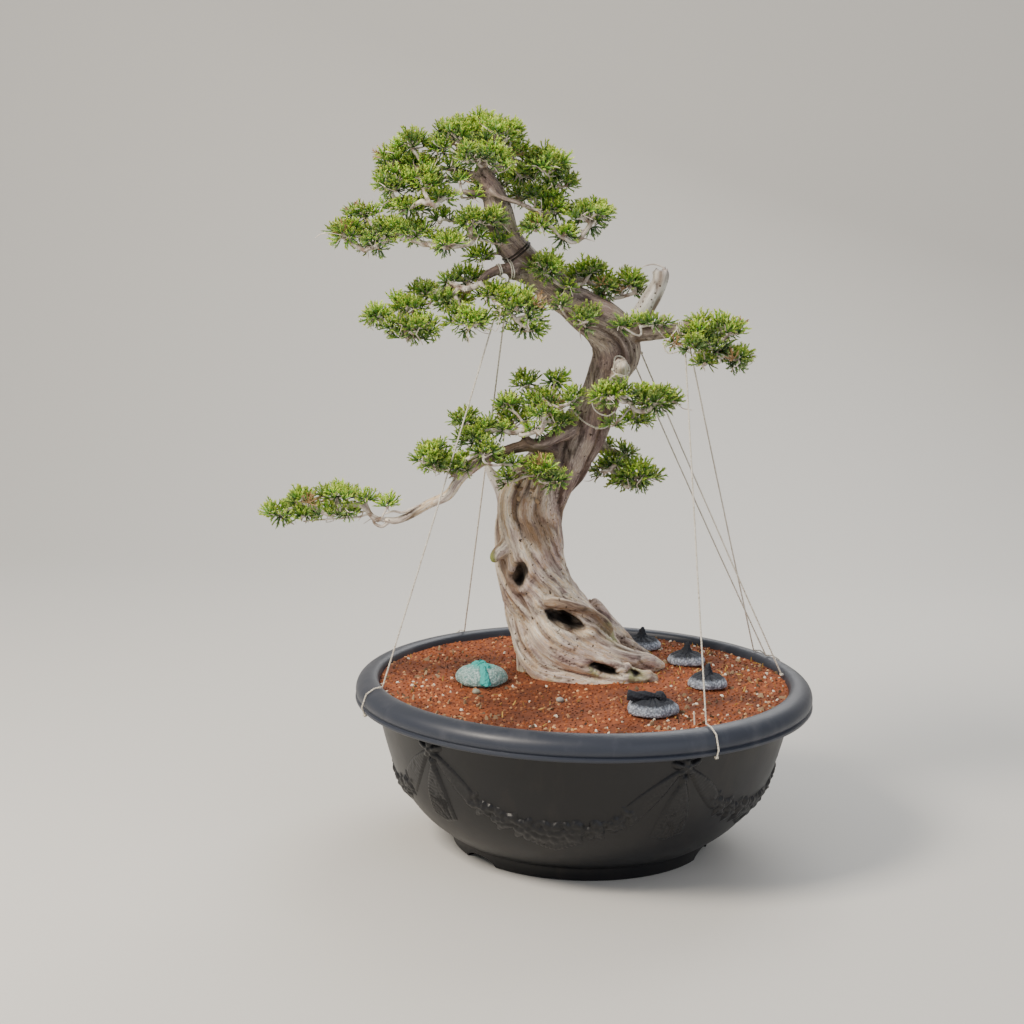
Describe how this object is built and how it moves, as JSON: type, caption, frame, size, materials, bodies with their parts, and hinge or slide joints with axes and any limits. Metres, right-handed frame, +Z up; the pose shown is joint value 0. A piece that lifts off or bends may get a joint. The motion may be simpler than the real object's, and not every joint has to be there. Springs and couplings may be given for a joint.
{
  "type": "potted bonsai tree",
  "caption": "Juniper bonsai with a leaning sinuous trunk, pale deadwood base and tufted foliage pads, held by taut cords in a round plastic training pot.",
  "frame": {"origin": "middle of the whole object's bounding box, on the flat surface that the pot's foot ring stands on", "axes": "+Z up; the front that the picture shows faces -Y; +X is to the right in that view, with the long low branch towards -X"},
  "size_m": [0.6134, 0.52, 0.829],
  "materials": {
    "pot_plastic": "near-black moulded plastic, satin on the rim",
    "soil_granules": "rust brown baked clay granules with pale pumice",
    "juniper_wood": "pale weathered deadwood below, grey brown bark above",
    "juniper_foliage": "scale leaves in cord-like shoots, yellow green tips",
    "guy_string": "pale twisted string",
    "pouch_teal": "teal knotted cloth over grains",
    "pouch_grey": "pale grey knotted mesh over grains",
    "tie_wire": "dark anodised training wire"
  },
  "bodies": {
    "root": {"feed_pouch_back": "pouch_grey", "feed_pouch_back_right": "pouch_grey", "feed_pouch_front": "pouch_grey", "feed_pouch_right": "pouch_grey", "feed_pouch_teal": "pouch_teal", "foliage_apex": "juniper_foliage", "foliage_back_right": "juniper_foliage", "foliage_bend_sprig": "juniper_foliage", "foliage_centre_left": "juniper_foliage", "foliage_crown_back": "juniper_foliage", "foliage_crown_left": "juniper_foliage", "foliage_crown_right": "juniper_foliage", "foliage_front_right": "juniper_foliage", "foliage_jin_foot": "juniper_foliage", "foliage_long_branch": "juniper_foliage", "foliage_long_left": "juniper_foliage", "foliage_long_right": "juniper_foliage", "foliage_low_left": "juniper_foliage", "foliage_lower_back": "juniper_foliage", "foliage_middle_back": "juniper_foliage", "foliage_middle_left": "juniper_foliage", "foliage_right": "juniper_foliage", "foliage_shoulder": "juniper_foliage", "foliage_small_left": "juniper_foliage", "foliage_trunk_front": "juniper_foliage", "foliage_upper_left": "juniper_foliage", "guy_cord_left_back": "guy_string", "guy_cord_left_front": "guy_string", "guy_cord_right_back": "guy_string", "guy_cord_right_front": "guy_string", "guy_cord_trunk_back": "guy_string", "guy_cord_trunk_right": "guy_string", "pot": "pot_plastic", "soil": "soil_granules", "stub_tie": "guy_string", "trunk": "juniper_wood", "trunk_tie": "guy_string", "upper_wire": "tie_wire"}
  },
  "joints": []
}
